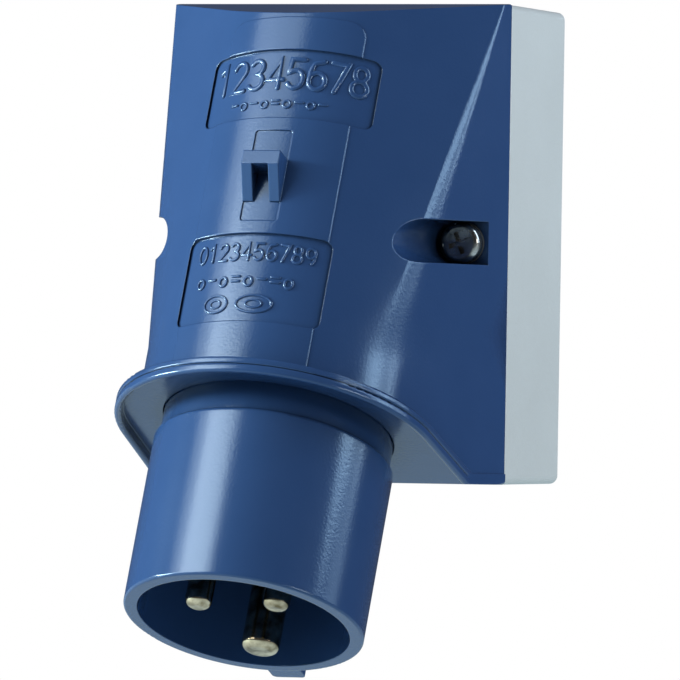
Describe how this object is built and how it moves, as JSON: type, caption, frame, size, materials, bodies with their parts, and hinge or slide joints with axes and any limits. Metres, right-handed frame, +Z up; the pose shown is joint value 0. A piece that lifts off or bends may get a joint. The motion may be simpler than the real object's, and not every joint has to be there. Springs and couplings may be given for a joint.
{
  "type": "industrial wall inlet",
  "caption": "Wall-mounted industrial power inlet: grey back box, blue hood cover and a round pin shroud that points down and outward.",
  "frame": {"origin": "centre of the back box's wall face", "axes": "+Z up, +Y into the wall, +X to the right seen from the front"},
  "size_m": [0.0664, 0.0935, 0.1237],
  "materials": {
    "grey_plastic": "fine matt",
    "blue_plastic": "satin gloss",
    "carrier_plastic": "fine matt",
    "rubber": "matt",
    "grommet_rubber": "matt",
    "pin_metal": "nickel plated, polished",
    "terminal_brass": "machined",
    "steel": "dark zinc"
  },
  "bodies": {
    "root": {"back_box": "grey_plastic", "box_gasket": "rubber", "entry_grommet": "grommet_rubber", "hood_cover": "blue_plastic", "inlet_shroud": "blue_plastic", "flange_seal": "rubber", "pin_carrier": "carrier_plastic", "terminal_housing": "carrier_plastic", "line_pin": "pin_metal", "neutral_pin": "pin_metal", "earth_pin": "pin_metal", "housing_screws": "steel", "line_terminal": "terminal_brass", "neutral_terminal": "terminal_brass", "earth_terminal": "terminal_brass", "line_terminal_screw": "steel", "neutral_terminal_screw": "steel", "earth_terminal_screw": "steel", "cover_screw_left": "steel", "cover_screw_right": "steel", "screw_seal_left": "rubber", "screw_seal_right": "rubber", "threaded_insert_left": "terminal_brass", "threaded_insert_right": "terminal_brass"}
  },
  "joints": []
}
